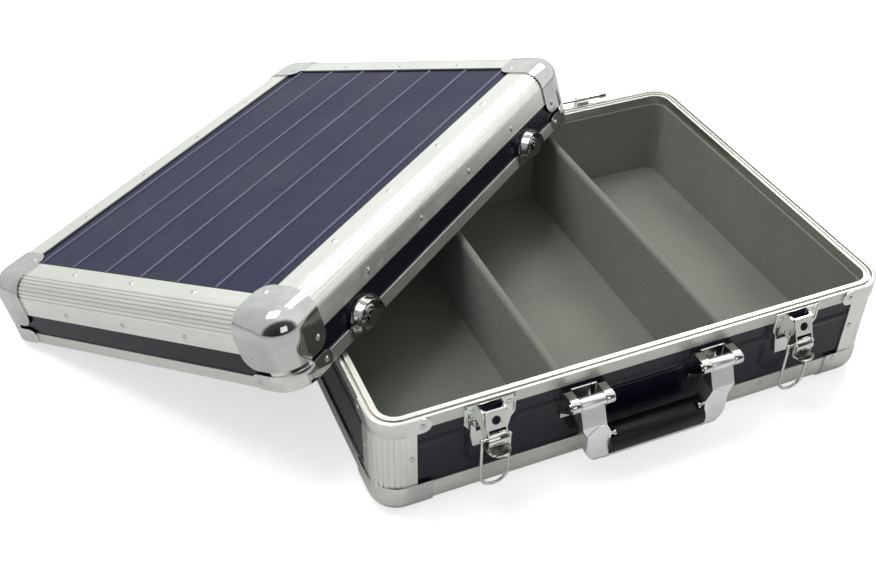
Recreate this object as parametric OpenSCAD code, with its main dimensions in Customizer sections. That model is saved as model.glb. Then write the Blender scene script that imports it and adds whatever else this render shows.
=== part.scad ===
// Flight case for three rows of discs. The lid is off its hinges and leans on the base.
// Origin: middle of the base's underside. +X runs along the front, +Y to the back, +Z up.

/* [Case] */
// Outer length of base and lid, along the front
case_w = 470; // [400:5:560]
// Outer depth of base and lid, front to back
case_d = 364; // [320:4:440]
// Height of the base, floor to the top of its rim
base_h = 103; // [98:1:116]
// Height of the lid, rim plane to top
lid_h = 66; // [64:1:84]
// Plan radius of the upright corners
corner_r = 24; // [20:1:28]
// Thickness of the side boards
board_t = 7; // [6:0.5:9]
// Thickness of the lid's top board
top_board_t = 3; // [2.5:0.5:4]

/* [Edge profiles] */
// Wall of the metal profiles, caps and clamps apart
profile_t = 1.5; // [1.2:0.1:2]
// Outer radius of the base's bottom edges
base_edge_r = 16; // [13:1:18]
// Height of the base profile on the side boards
base_flange = 29; // [24:1:34]
// Width of the base profile under the bottom board
base_under = 24; // [20:1:30]
// Outer radius of the lid's top edges
lid_edge_r = 18; // [15:1:20]
// Reach of the lid profile along top and side
lid_flange = 34; // [30:1:38]
// Radius of the fine flutes along the profiles
flute_r = 0.5; // [0.3:0.1:0.7]
// Number of flutes round an edge
flutes = 7; // [3:1:9]
// Reach of a corner upright along each side
upright_reach = 33; // [30:1:38]

/* [Rim] */
// Height of the base rim's outer face
rim_h = 11.5; // [10:0.5:14]
// Height of the lid rim's outer face
lid_rim_h = 11; // [10:0.5:13]
// Groove in the base rim, from the outer face
groove_inset = 2.4; // [2:0.1:3]
// Width of that groove
groove_w = 2; // [1.8:0.1:2.4]
// Depth of that groove
groove_h = 3; // [2.6:0.1:4]
// Clearance of the lid's tongue in the groove, all round
tongue_gap = 0.3; // [0.2:0.05:0.4]
// Inner lip of the rim over the lining
rim_lip = 1; // [0.8:0.1:1.5]
// How far the rim's inner shelf lies below its top
shelf_drop = 1; // [0.5:0.1:1.6]

/* [Corner pieces] */
// Sheet of the corner caps and rim clamps
cap_t = 1.2; // [0.8:0.1:1.6]
// Reach of a lid ball cap along the edges
ball_reach = 47; // [42:1:52]
// Gap between a ball cap and the rim clamp below it
ball_gap = 4; // [3:0.5:8]
// Round of a ball cap's lobes
lobe_r = 13; // [9:1:16]
// Reach of a base corner cap
foot_cap_reach = 46; // [42:1:52]
// Height of a base corner cap
foot_cap_h = 31; // [27:1:34]
// Radius of the lobe that holds a base cap's rivet
foot_lobe_r = 8; // [6:1:9]
// Height of a rim clamp
clamp_h = 15; // [12:1:17]
// Reach of a rim clamp along the sides
clamp_reach = 45; // [40:1:50]

/* [Rivets] */
// Radius of a rivet head
rivet_r = 2.7; // [2:0.1:3.2]
// Height of a rivet head
rivet_h = 0.9; // [0.6:0.1:1.2]
// Rivets per long side, pitch from one to the next
long_pitch = 81; // [70:1:95]
// Rivets per short side, pitch from one to the next
short_pitch = 75; // [60:1:90]

/* [Inside] */
// Thickness of the base's lining
lining_t = 3.5; // [2:0.5:5]
// Thickness of the lid's lining on its sides
lid_lining_t = 3; // [2:0.5:4]
// Thickness of the lid's lining under its top
roof_lining_t = 1; // [0.8:0.1:2]
// Gap that the lining and the dividers fit with
fit_gap = 0.2; // [0.1:0.05:0.3]
// Thickness of a divider
divider_t = 8; // [5:0.5:10]
// Distance of a divider from the middle
divider_x = 76.5; // [74:0.5:90]
// Distance of a divider's top edge below the rim's top
divider_drop = 6; // [6:0.5:20]

/* [Panels] */
// Radius of the ribs pressed into the lid's top
rib_r = 2.6; // [2:0.1:3]
// How far a rib stands up
rib_h = 1; // [0.5:0.1:1.2]
// Distance between ribs
rib_pitch = 45; // [35:1:60]
// Width of the flat rib along the base's boards
side_rib_w = 8.5; // [6:0.5:10]
// Distance of that rib's middle below the rim's top
side_rib_drop = 28.5; // [26:0.5:36]

/* [Latches] */
// Distance of a latch's middle from the case's end
latch_in = 93; // [85:1:110]
// Width of a latch plate
latch_w = 44; // [40:1:48]
// Height of a latch plate
latch_plate_h = 44.5; // [42:0.5:48]
// Distance from a latch plate's top down to where it is narrow
latch_waist = 24; // [20:0.5:26]
// Distance from the rim's top down to the plate's top
latch_drop = 1.5; // [1:0.5:4]
// Thickness of a latch plate in front of the rim
latch_t = 1.5; // [1.2:0.1:1.7]
// Width of a lever
lever_w = 17; // [15:1:20]
// Thickness of a lever's sheet
lever_t = 1.6; // [1.2:0.1:2]
// Height of a lever's pivot below the rim's top
lever_drop = 8; // [7.5:0.5:10]
// Stand-off of a lever's pivot from the case
lever_out = 7; // [7:0.25:8]
// Height of the bail's pivot below the lever's pivot
bail_drop = 22; // [21:0.5:23]
// Stand-off of the bail's pivot from the lever's pivot
bail_step = 6.5; // [5.5:0.5:7.5]
// Radius of the lever's barrel that the bail turns in
barrel_r = 6.4; // [5.6:0.1:6.8]
// Radius of the lever's finger dish, from which its hollow is struck
dish_r = 13; // [12.5:0.5:16]
// How far the dish stands in front of the barrel's middle
dish_step = 5; // [3:0.5:6]
// Radius of the bail's wire
wire_r = 1.3; // [1:0.1:1.4]
// Length of the bail, pivot to the middle of its bend
bail_len = 52; // [46:1:53]
// Radius of a lever's pivot pin
lever_pin_r = 1.5; // [1.2:0.1:1.6]
// Radius of a lock cylinder
lock_r = 3.7; // [3.2:0.1:3.9]

/* [Handle] */
// Distance between the two handle brackets
handle_pitch = 120; // [114:1:130]
// Width of a bracket
bracket_w = 38; // [37:0.5:42]
// Thickness of a bracket's cheek
cheek_t = 8; // [6:0.5:8.5]
// Distance from the rim's top down to the handle's pivot
handle_drop = 21.5; // [20:0.5:23]
// Distance from the pivot down to the lower end of a bracket's plate
bracket_drop = 24; // [22:0.5:26]
// Distance from the pivot down to where an arm's neck ends
neck_drop = 20; // [18:0.5:24]
// Stand-off of the handle's pivot
handle_out = 14.5; // [14:0.5:17]
// Radius of a cheek round the pivot
cheek_r = 5.8; // [5.2:0.1:6.4]
// Radius of the handle's pivot pins
handle_pin_r = 2.5; // [2:0.1:3]
// Distance from pivot down to the middle of the grip
grip_drop = 46.5; // [44:0.5:48]
// Distance from pivot out to the middle of the grip
grip_step = 3; // [2:0.5:4]
// Radius of the grip
grip_r = 12; // [10.5:0.25:12.5]
// Depth of an arm at the grip, front to back
arm_depth = 15; // [13:0.5:16]
// How far an arm's lower part is set in towards the grip
arm_shift = 5; // [3:0.5:6]
// Radius of the handle's lower corners, seen from the front
arm_corner = 17; // [14:0.5:20]
// Round of an arm's lower edge, seen from its side
arm_round = 4; // [3:0.5:5]
// Radius of the raised round field on an arm's front
field_r = 28; // [24:1:32]
// Height of that field
field_h = 0.6; // [0.4:0.1:1]
// Thickness of the rail under the grip
rail_t = 2.4; // [2:0.1:3]

/* [Hinges] */
// Distance of a hinge's base knuckle from the case's end
hinge_in = 100.5; // [90:0.5:120]
// Height of the hinge axis over the rim
hinge_rise = 3.5; // [3.4:0.1:4.5]
// Stand-off of the hinge axis from the back
hinge_out = 5.5; // [5:0.1:7]
// Outer radius of a hinge knuckle
knuckle_r = 3.2; // [2.8:0.1:3.2]
// Length of the base's knuckle
knuckle_w = 13; // [10:1:16]
// Length of the lid's knuckle
lid_knuckle_w = 15; // [10:1:18]
// Radius of the pull pin
pull_pin_r = 1.4; // [1.1:0.1:1.6]
// Thickness of the hinge leaves
leaf_t = 1.8; // [1.4:0.1:2]
// Height of the hinge leaf on the base
leaf_h = 29.5; // [26:0.5:32]
// Gap between the hinge leaf on the lid and the lid's profile above it
leaf_gap = 3; // [2:0.5:6]

/* [Lid position] */
// Turn of the lid against the base, seen from above
lean_yaw = 36; // [32:1:40]
// Where the lid's front crosses the left rim, from the base's front
lean_from_front = 88.5; // [80:0.5:100]
// The same point, from the lid's left side
lean_from_left = 52.5; // [46:0.5:60]
// Gap that the lid rests with on the rim and on the floor
rest_gap = 0.35; // [0.3:0.05:0.5]

/* [Hidden] */

$fn = 48;
small_fn = 24;
// Booleans reach this far past a face that they cut through
over = 1;
// Radial clearance of a pin that turns in its bore
run_gap = 0.06;
// Gap between pieces that move past each other
play = 0.35;

navy = [0.12, 0.12, 0.16];
slate = [0.30, 0.30, 0.42];
metal = [0.80, 0.82, 0.81];
chrome = [0.86, 0.87, 0.88];
felt = [0.42, 0.43, 0.41];
black = [0.06, 0.06, 0.06];

latch_x = case_w / 2 - latch_in;
hinge_x = case_w / 2 - hinge_in;
handle_z = base_h - handle_drop;
ball_drop = lid_h - clamp_h - ball_gap;
// Insets from the outer plane of the case
board_in = profile_t;
board_back = profile_t + board_t;
rim_w = board_back + rim_lip;
lining_out = board_back + fit_gap;
lining_in = lining_out + lining_t;
lid_lining_in = lining_out + lid_lining_t;
// Heights in the base
bottom_top = board_back;
floor_z = bottom_top + fit_gap + lining_t;
rim_web_h = groove_h + 2;
board_top = base_h - rim_web_h;
divider_top = base_h - divider_drop;
rim_face_low = base_h - rim_h;
lip_low = base_h - rim_h + profile_t;
// Heights in the lid
lid_web_h = 3;
lid_board_top = lid_h - lid_edge_r;
lid_flange_low = lid_h - lid_flange;
lid_lip_h = lid_rim_h - lid_web_h;
roof_z = lid_h - profile_t - top_board_t;
tongue_inset = groove_inset + tongue_gap;
tongue_w = groove_w - 2 * tongue_gap;
tongue_h = groove_h - 2 * tongue_gap;

// Lengths of the sides, front, right, back, left, and their distance from the middle
function side_len(i) = i % 2 == 0 ? case_w : case_d;
function side_dist(i) = i % 2 == 0 ? case_d / 2 : case_w / 2;
function corner_x(i) = (i == 0 || i == 3 ? -1 : 1) * case_w / 2;
function corner_y(i) = (i < 2 ? -1 : 1) * case_d / 2;

// Puts children on a side: x along it, y into the case, outer plane at y = 0
module on_side(i) {
    rotate([0, 0, 90 * i]) translate([0, -side_dist(i), 0]) children();
}

// Puts children on a corner: x and y run into the case from its sharp corner
module on_corner(i) {
    translate([corner_x(i), corner_y(i), 0]) rotate([0, 0, 90 * i]) children();
}

// Draws children as they are and swapped over the corner's diagonal
module both_ways() {
    children();
    mirror([1, -1, 0]) children();
}

// Sweeps a profile, x inwards and y up, along a side
module run_x(len) {
    rotate([90, 0, 90]) linear_extrude(height = len, center = true) children();
}

// Sweeps a profile, x inwards and y up, round an upright corner
module run_corner(r) {
    translate([r, r, 0]) rotate([0, 0, 180]) rotate_extrude(angle = 90)
        translate([r, 0]) mirror([1, 0]) children();
}

// Rectangle with round corners, inset from the case's outline
module outline(inset, r = corner_r) {
    w = case_w - 2 * inset;
    d = case_d - 2 * inset;
    rr = max(r - inset, 0.5);
    square([w - 2 * rr, d], center = true);
    square([w, d - 2 * rr], center = true);
    for (sx = [-1, 1], sy = [-1, 1])
        translate([sx * (w / 2 - rr), sy * (d / 2 - rr)]) circle(rr);
}

// Closed frame between two insets and two heights
module ring(in0, in1, z0, z1) {
    translate([0, 0, z0]) linear_extrude(height = z1 - z0) difference() {
        outline(in0);
        outline(in1);
    }
}

// Quarter disc about (r, r) that rounds the outer edge of a profile
module quarter(r, rr) {
    intersection() {
        translate([r, r]) circle(rr);
        square([r, r]);
    }
}

// Hollow round-edge profile with a flange up the side and one across
module edge_2d(r, up, across, n) {
    difference() {
        union() {
            quarter(r, r);
            translate([0, r]) square([profile_t, up - r]);
            translate([r, 0]) square([across - r, profile_t]);
        }
        translate([r, r]) circle(r - board_back);
        intersection() {
            difference() {
                translate([r, r]) circle(r - 2 * profile_t);
                translate([r, r]) circle(r - board_back + profile_t);
            }
            square([r - profile_t, r - profile_t]);
        }
        for (k = [1 : n]) {
            a = 90 * k / (n + 1);
            translate([r - r * cos(a), r - r * sin(a)]) circle(flute_r, $fn = 16);
        }
    }
}

// Low round head that stands on z = 0
module rivet() {
    ball = (rivet_r * rivet_r + rivet_h * rivet_h) / (2 * rivet_h);
    intersection() {
        translate([0, 0, rivet_h - ball]) sphere(ball);
        cylinder(r = rivet_r, h = rivet_h);
    }
}

// Rivet on a side's outer plane, out by a sheet
module side_rivet(x, z, out = 0) {
    translate([x, -out, z]) rotate([90, 0, 0]) rivet();
}

// The two rivets of a corner piece, one on each face
module corner_rivets(reach, z, out) {
    both_ways() side_rivet(reach, z, out);
}

// Base boards

module base_bottom_board() {
    color(navy) {
        translate([0, 0, profile_t]) linear_extrude(height = board_t) outline(base_edge_r);
        linear_extrude(height = profile_t) outline(base_under + fit_gap, corner_r + base_under);
    }
}

module base_board(i) {
    rib_r2 = (pow(side_rib_w / 2, 2) + rib_h * rib_h) / (2 * rib_h);
    rib_z = base_h - side_rib_drop;
    half = side_rib_w / 2 + over;
    color(navy) on_side(i) {
        translate([0, board_in + board_t / 2, (base_edge_r + board_top) / 2])
            cube([side_len(i) - 2 * corner_r, board_t, board_top - base_edge_r], center = true);
        // Flat rib, broken where a fitting is screwed to the board
        difference() {
            run_x(side_len(i) - 2 * upright_reach - 2 * fit_gap) intersection() {
                translate([board_in - rib_h + rib_r2, rib_z]) circle(rib_r2, $fn = 96);
                translate([0, rib_z - half]) square([board_in, 2 * half]);
            }
            if (i == 0) for (s = [-1, 1]) {
                rib_break(s * latch_x, latch_w, rib_z);
                rib_break(s * handle_pitch / 2, bracket_w, rib_z);
            }
            if (i == 2) for (s = [-1, 1]) rib_break(s * hinge_x, leaf_w, rib_z);
        }
    }
}

// Room for a fitting of width w in the rib
module rib_break(x, w, z) {
    translate([x - w / 2 - fit_gap, -over, z - side_rib_w])
        cube([w + 2 * fit_gap, board_in + 2 * over, 2 * side_rib_w]);
}

module base_edge(i) {
    color(metal) on_side(i) mitred(i, base_under)
        run_x(side_len(i) - 2 * corner_r) edge_2d(base_edge_r, base_flange, base_under, 0);
}

// Cuts a profile's ends so that its flat flange meets the next side's on the diagonal
module mitred(i, reach) {
    full = side_len(i) / 2 - corner_r;
    tip = side_len(i) / 2 - max(reach, corner_r) - over;
    deep = max(reach, corner_r) + over;
    intersection() {
        children();
        translate([0, 0, -case_d]) linear_extrude(height = 2 * case_d)
            polygon([[-full, -over], [full, -over], [full, corner_r], [tip, deep],
                [-tip, deep], [-full, corner_r]]);
    }
}

module base_upright(i) {
    low = base_edge_r;
    color(metal) on_corner(i) {
        difference() {
            translate([corner_r, corner_r, 0]) rotate([0, 0, 180]) rotate_extrude(angle = 90)
                upright_2d(low);
            for (k = [1 : flutes]) {
                a = 90 * k / (flutes + 1);
                translate([corner_r * (1 - cos(a)), corner_r * (1 - sin(a)), low - over])
                    cylinder(r = flute_r, h = base_h, $fn = 16);
            }
        }
        both_ways() translate([corner_r, 0, base_flange])
            cube([upright_reach - corner_r, profile_t, rim_face_low - base_flange]);
    }
}

// Section of a corner upright, x out from the corner's centre
module upright_2d(low) {
    core = corner_r - board_back;
    shell = corner_r - profile_t;
    difference() {
        union() {
            translate([core, low]) square([corner_r - core, rim_face_low - low]);
            translate([core, low]) square([shell - core, board_top - low]);
        }
        translate([core + profile_t, low + profile_t])
            square([shell - core - 2 * profile_t, board_top - low - 2 * profile_t]);
    }
}

module base_rim() {
    color(metal) difference() {
        union() {
            ring(0, profile_t, rim_face_low, base_h);
            ring(0, rim_w, board_top, base_h);
            ring(board_back, rim_w, lip_low, base_h);
        }
        ring(groove_inset, groove_inset + groove_w, base_h - groove_h, base_h + over);
        ring(groove_inset + groove_w + profile_t + 0.3, rim_w + over,
            base_h - shelf_drop, base_h + over);
    }
}

// Sheet clamp round a rim corner, from z = 0 up
module clamp_band(h) {
    run_corner(corner_r) translate([-cap_t, 0]) square([cap_t, h]);
    both_ways() rotate([90, 0, 0]) linear_extrude(height = cap_t) {
        translate([corner_r, 0]) square([clamp_reach - corner_r - h / 2, h]);
        translate([clamp_reach - h / 2, h / 2]) circle(h / 2);
    }
}

module base_rim_clamps() {
    color(chrome) for (i = [0 : 3])
        on_corner(i) translate([0, 0, base_h - clamp_h]) clamp_band(clamp_h);
}

// Shell of a pressed cap over an edge of radius r, x inwards and y away from the edge
module cap_2d(r, up, across) {
    difference() {
        union() {
            quarter_out(r);
            translate([-cap_t, r]) square([cap_t, up - r]);
            translate([r, -cap_t]) square([across - r, cap_t]);
        }
        quarter(r, r);
    }
}

module quarter_out(r) {
    intersection() {
        translate([r, r]) circle(r + cap_t);
        translate([-cap_t, -cap_t]) square([r + cap_t, r + cap_t]);
    }
}

// A cap's whole shell at a corner, before its outline is cut
module cap_shell(r, up, across) {
    run_corner(corner_r) intersection() {
        cap_2d(r, up, across);
        polygon([[-over - cap_t, -over - cap_t], [corner_r, -over - cap_t],
            [corner_r, up + across], [-over - cap_t, up + across]]);
    }
    both_ways() translate([(corner_r + across) / 2, 0, 0])
        run_x(across - corner_r) cap_2d(r, up, across);
}

// Rectangle with its far corner round
module lobe_2d(w, d, r) {
    translate([-over - cap_t, -over - cap_t]) {
        square([w + over + cap_t - r, d + over + cap_t]);
        square([w + over + cap_t, d + over + cap_t - r]);
    }
    translate([w - r, d - r]) circle(r);
}

// Outline of a base cap on one face, with the lobe that its rivet holds
module foot_face_2d() {
    lobe_x = foot_cap_reach - foot_lobe_r;
    lobe_z = foot_cap_h - foot_lobe_r / 2;
    translate([-over - cap_t, 0]) square([foot_cap_reach + over + cap_t - foot_lobe_r, foot_cap_h]);
    translate([0, 0]) square([foot_cap_reach, lobe_z]);
    translate([lobe_x, lobe_z]) circle(foot_lobe_r);
}

module base_cap(i) {
    color(metal) on_corner(i) intersection() {
        cap_shell(base_edge_r, foot_cap_h + foot_lobe_r, foot_cap_reach + over);
        translate([0, foot_cap_reach + over, 0]) rotate([90, 0, 0])
            linear_extrude(height = foot_cap_reach + 2 * over + cap_t) foot_face_2d();
        mirror([1, -1, 0]) translate([0, foot_cap_reach + over, 0]) rotate([90, 0, 0])
            linear_extrude(height = foot_cap_reach + 2 * over + cap_t) foot_face_2d();
    }
}

module base_lining() {
    core = base_edge_r - board_back - fit_gap;
    color(felt) {
        ring(lining_out, lining_in, base_edge_r, lip_low - fit_gap);
        translate([0, 0, bottom_top + fit_gap]) linear_extrude(height = lining_t)
            outline(base_edge_r, corner_r + base_edge_r / 2);
        for (i = [0 : 3]) {
            on_side(i) run_x(side_len(i) - 2 * corner_r) cove_2d(core);
            on_corner(i) run_corner(corner_r) cove_2d(core);
        }
    }
}

// Foot of the lining where it turns from floor to wall
module cove_2d(core) {
    difference() {
        intersection() {
            translate([base_edge_r, base_edge_r]) circle(core);
            translate([lining_out, lining_out])
                square([corner_r - lining_out, base_edge_r - lining_out]);
        }
        translate([lining_in, floor_z]) square([corner_r, corner_r]);
    }
}

module divider(side) {
    len = case_d - 2 * (lining_in + fit_gap);
    low = floor_z + fit_gap;
    color(felt) translate([side * divider_x, 0, 0]) rotate([90, 0, 0])
        linear_extrude(height = len, center = true) {
            translate([-divider_t / 2, low])
                square([divider_t, divider_top - divider_t / 2 - low]);
            translate([0, divider_top - divider_t / 2]) circle(divider_t / 2);
        }
}

// Rivet places along a side, from its middle
function rivet_row(i) = i % 2 == 0 ? [-1.5, -0.5, 0.5, 1.5] * long_pitch
    : [-1, 0, 1] * short_pitch;

module base_rivets() {
    edge_z = (base_edge_r + base_flange) / 2;
    color(chrome) {
        for (i = [0 : 3]) {
            on_side(i) for (x = rivet_row(i)) side_rivet(x, edge_z);
            on_corner(i) {
                corner_rivets((corner_r + upright_reach) / 2, (foot_cap_h + rim_face_low) / 2, 0);
                corner_rivets(clamp_reach - clamp_h / 2, base_h - clamp_h / 2, cap_t);
                corner_rivets(foot_cap_reach - foot_lobe_r, foot_cap_h - foot_lobe_r / 2, cap_t);
            }
        }
    }
}

// Latches. Each is drawn about its own middle, y into the case, outer plane at y = 0

lever_z = base_h - lever_drop;
bail_z = lever_z - bail_drop;
bail_out = lever_out + bail_step;
ear_t = 1.4;
// Round of the ears and of the lever's webs about the pivot pin
eye_r = 3.2;
ear_x = lever_w / 2 + play;
bail_half = ear_x + ear_t + play + wire_r;
// Front face of a lever, from its top edge to the recess over the barrel
face_top = [lever_out + 2.6, lever_z + 3.6];
face_low = [bail_out + 1.7, bail_z + 11];
face_tilt = atan2(face_low[0] - face_top[0], face_top[1] - face_low[1]);
lock_share = 0.52;
lock_at = face_top + lock_share * (face_low - face_top);
lock_depth = 2.2;

module latch_at(side) {
    translate([side * latch_x, -case_d / 2, 0]) children();
}

// Sweeps a side view, x out of the case and y up, over a width
module side_view(w) {
    mirror([0, 1, 0]) rotate([90, 0, 90]) linear_extrude(height = w, center = true) children();
}

// Axis across a piece at a place in its side view
module cross_pin(at, r, len) {
    translate([0, -at[0], at[1]]) rotate([0, 90, 0])
        cylinder(r = r, h = len, center = true, $fn = small_fn);
}

// Outline of a latch plate, wide at the rim and narrow below
module latch_plate_2d(top) {
    half = latch_w / 2;
    low = top - latch_plate_h;
    waist = top - latch_waist;
    shoulder = waist + 6;
    polygon([[-half, top], [-half, shoulder], [-half + 4, waist], [-half + 8, low],
        [half - 8, low], [half - 4, waist], [half, shoulder], [half, top]]);
}

module latch_plate(side) {
    top = base_h - latch_drop;
    bead_r = 1.1;
    bead_h = 16;
    window_h = 3;
    color(chrome) latch_at(side) {
        difference() {
            union() {
                rotate([90, 0, 0]) linear_extrude(height = latch_t) latch_plate_2d(top);
                // The part below the rim reaches back to the side board
                intersection() {
                    translate([0, board_in, 0]) rotate([90, 0, 0])
                        linear_extrude(height = board_in + latch_t) latch_plate_2d(top);
                    translate([-latch_w, -latch_w, 0]) cube([2 * latch_w, 2 * latch_w, rim_face_low]);
                }
                // Two ears hold the lever's pivot pin
                for (s = [-1, 1])
                    translate([s * (ear_x + ear_t / 2), 0, 0]) side_view(ear_t) ear_2d();
                cross_pin([lever_out, lever_z], lever_pin_r, 2 * ear_x + ear_t);
                // Raised bead down each upper edge
                for (s = [-1, 1]) translate([s * (latch_w / 2 - 1.4), -latch_t, top - bead_h - 1])
                    cylinder(r = bead_r, h = bead_h, $fn = small_fn);
            }
            // Window over the lever
            translate([-lever_w / 2, -latch_t - over, lever_z + lever_pin_r + play])
                cube([lever_w, latch_t + over, window_h]);
        }
        for (s = [-1, 1]) translate([s * (latch_w / 2 - 6), -latch_t, top - 6])
            rotate([90, 0, 0]) rivet();
    }
}

module ear_2d() {
    ear_h = 13;
    translate([lever_out, lever_z]) circle(eye_r, $fn = small_fn);
    translate([0, lever_z - ear_h]) square([lever_out, ear_h + eye_r]);
    translate([0, lever_z - ear_h]) square([lever_out + eye_r, ear_h]);
}

module latch_lever(side) {
    web_t = 1.3;
    collar_t = 1.2;
    color(chrome) latch_at(side) difference() {
        union() {
            // Side webs from pivot to barrel, with a foot that rests near the plate
            for (s = [-1, 1]) translate([s * (lever_w - web_t) / 2, 0, 0]) side_view(web_t) web_2d();
            // Front face
            side_view(lever_w) face_2d(lever_t);
            // Collar behind the face for the lock
            on_face() translate([0, 0, -lock_depth - 0.6])
                cylinder(r = lock_r + collar_t, h = lock_depth);
            cross_pin([bail_out, bail_z], barrel_r, lever_w);
            finger_dish();
        }
        cross_pin([lever_out, lever_z], lever_pin_r + run_gap, lever_w + 2 * over);
        cross_pin([bail_out, bail_z], wire_r + run_gap, lever_w + 2 * over);
        on_face() translate([0, 0, -2 * lock_depth])
            cylinder(r = lock_r + run_gap, h = 3 * lock_depth);
    }
}

// Puts children on a lever's face at the lock, z out of the face
module on_face() {
    translate([0, -lock_at[0], lock_at[1]]) rotate([90 - face_tilt, 0, 0]) children();
}

module face_2d(t) {
    polygon([face_top, face_low, face_low - [t, 0], face_top - [t, 0]]);
}

module web_2d() {
    foot = latch_t + play;
    translate([lever_out, lever_z]) circle(eye_r, $fn = small_fn);
    polygon([[lever_out, lever_z + eye_r], face_top, face_low, [bail_out + barrel_r - 1, bail_z + 2],
        [bail_out, bail_z - barrel_r + 1], [bail_out - barrel_r + 1, bail_z],
        [foot, bail_z + 4], [lever_out - eye_r, lever_z]]);
}

// Hollow dish for the finger under the barrel, open upwards, with a neck up to the barrel
module finger_dish() {
    rim = bail_half - wire_r - play - 0.2;
    centre_z = bail_z - barrel_r - 1 + sqrt(dish_r * dish_r - rim * rim);
    back = bail_out - barrel_r / 2;
    intersection() {
        translate([0, -bail_out - dish_step, centre_z]) difference() {
            sphere(dish_r);
            sphere(dish_r - lever_t);
        }
        translate([-2 * rim, -back - 4 * rim, bail_z - barrel_r - 1 - rim])
            cube([4 * rim, 4 * rim, rim]);
    }
    translate([-lever_w / 2 + 1, -back - lever_t, bail_z - barrel_r - 4])
        cube([lever_w - 2, lever_t, 4 + barrel_r / 2]);
}

module latch_bail(side) {
    bend_z = bail_z - bail_len + bail_half;
    color(chrome) latch_at(side) {
        // End rods turned in through the lever's barrel
        cross_pin([bail_out, bail_z], wire_r, 2 * bail_half);
        translate([0, -bail_out, 0]) {
            for (s = [-1, 1]) {
                translate([s * bail_half, 0, bail_z]) sphere(wire_r + 0.6, $fn = small_fn);
                translate([s * bail_half, 0, bend_z])
                    cylinder(r = wire_r, h = bail_z - bend_z, $fn = small_fn);
            }
            translate([0, 0, bend_z]) rotate([90, 0, 0]) rotate([0, 0, 180])
                rotate_extrude(angle = 180) translate([bail_half, 0]) circle(wire_r, $fn = small_fn);
        }
    }
}

module latch_lock(side) {
    inset = 0.3;
    key_w = 1.2;
    key_len = lock_r * 1.4;
    color(black) latch_at(side) on_face() difference() {
        translate([0, 0, -lock_depth]) cylinder(r = lock_r, h = lock_depth - inset);
        // Keyway
        translate([-key_w / 2, -key_len / 2, -key_w]) cube([key_w, key_len, 2 * key_w]);
    }
}

// Handle

// Lower end of a bracket's plate, and how far above it the cheeks begin
bracket_low = handle_z - bracket_drop;
cheek_foot = 4;
bracket_gap = bracket_w - 2 * cheek_t;
neck_half = bracket_gap / 2 - play;
grip_z = handle_z - grip_drop;
grip_out = handle_out + grip_step;
arm_front = grip_out + arm_depth / 2;
arm_low = grip_z - grip_r - rail_t - 0.1;
arm_in = neck_half + arm_shift;
arm_outer = neck_half - arm_shift;
grip_half = handle_pitch / 2 - arm_in;
rail_inset = 1.5;
// The arms widen, deepen and are set in from here down
arm_neck_z = handle_z - neck_drop;
neck_slant = 10;
screw_step = 4.5;
screw_rise = 11;
screw_out = grip_out + screw_step;
screw_z = grip_z + screw_rise;
// Notch in the grip's end that a screw sits in, radius and depth
notch_r = 3.6;
notch = 7;

module handle_at(side) {
    translate([side * handle_pitch / 2, -case_d / 2, 0]) children();
}

// Side view of a cheek: from the plate to a round nose about the pivot
module cheek_2d() {
    low = bracket_low + cheek_foot;
    reach = sqrt(pow(handle_out, 2) + pow(handle_z - low, 2));
    slope = atan2(handle_z - low, handle_out) - asin(cheek_r / reach);
    translate([handle_out, handle_z]) circle(cheek_r);
    polygon([[0, handle_z + cheek_r], [handle_out, handle_z + cheek_r], [handle_out, handle_z],
        [handle_out + cheek_r * sin(slope), handle_z - cheek_r * cos(slope)], [0, low]]);
}

module handle_bracket(side) {
    color(chrome) handle_at(side) difference() {
        union() {
            translate([-bracket_w / 2, -profile_t, bracket_low])
                cube([bracket_w, profile_t + board_in, handle_z + cheek_r - bracket_low]);
            for (s = [-1, 1])
                translate([s * (bracket_w - cheek_t) / 2, 0, 0]) side_view(cheek_t) cheek_2d();
        }
        cross_pin([handle_out, handle_z], handle_pin_r + run_gap, bracket_w + 2 * over);
    }
}

module handle_pins() {
    head_t = 1;
    color(metal) for (side = [-1, 1]) handle_at(side) {
        cross_pin([handle_out, handle_z], handle_pin_r, bracket_w + head_t);
        for (s = [-1, 1]) translate([s * (bracket_w + head_t) / 2, 0, 0])
            cross_pin([handle_out, handle_z], handle_pin_r + head_t, head_t);
    }
}

// Front view of the right arm about its middle: the grip is on its left
module arm_front_2d() {
    slant_low = arm_neck_z - neck_slant;
    polygon([[-neck_half, handle_z + cheek_r], [-neck_half, arm_neck_z], [-arm_in, slant_low],
        [-arm_in, arm_low + arm_corner], [arm_outer, arm_low + arm_corner],
        [arm_outer, slant_low], [neck_half, arm_neck_z], [neck_half, handle_z + cheek_r]]);
    translate([-arm_in, arm_low]) square([arm_in + arm_outer - arm_corner, arm_corner + over]);
    intersection() {
        translate([arm_outer - arm_corner, arm_low + arm_corner]) circle(arm_corner, $fn = 96);
        translate([-arm_in, arm_low]) square([arm_in + arm_outer, arm_corner]);
    }
}

// Side view of an arm: pivot eye, web and a deeper lower part with round edges
module arm_side_2d() {
    eye = cheek_r - play;
    crease = 40;
    back = arm_front - arm_depth;
    translate([handle_out, handle_z]) circle(eye);
    translate([arm_front - arm_round, arm_low + arm_round]) circle(arm_round);
    translate([back + arm_round, arm_low + arm_round]) circle(arm_round);
    polygon([[handle_out - eye, handle_z], [handle_out, handle_z],
        [handle_out + eye * sin(crease), handle_z - eye * cos(crease)],
        [arm_front, arm_neck_z], [arm_front, arm_low + arm_round],
        [arm_front - arm_round, arm_low], [back + arm_round, arm_low],
        [back, arm_low + arm_round], [back, arm_neck_z]]);
}

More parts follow.
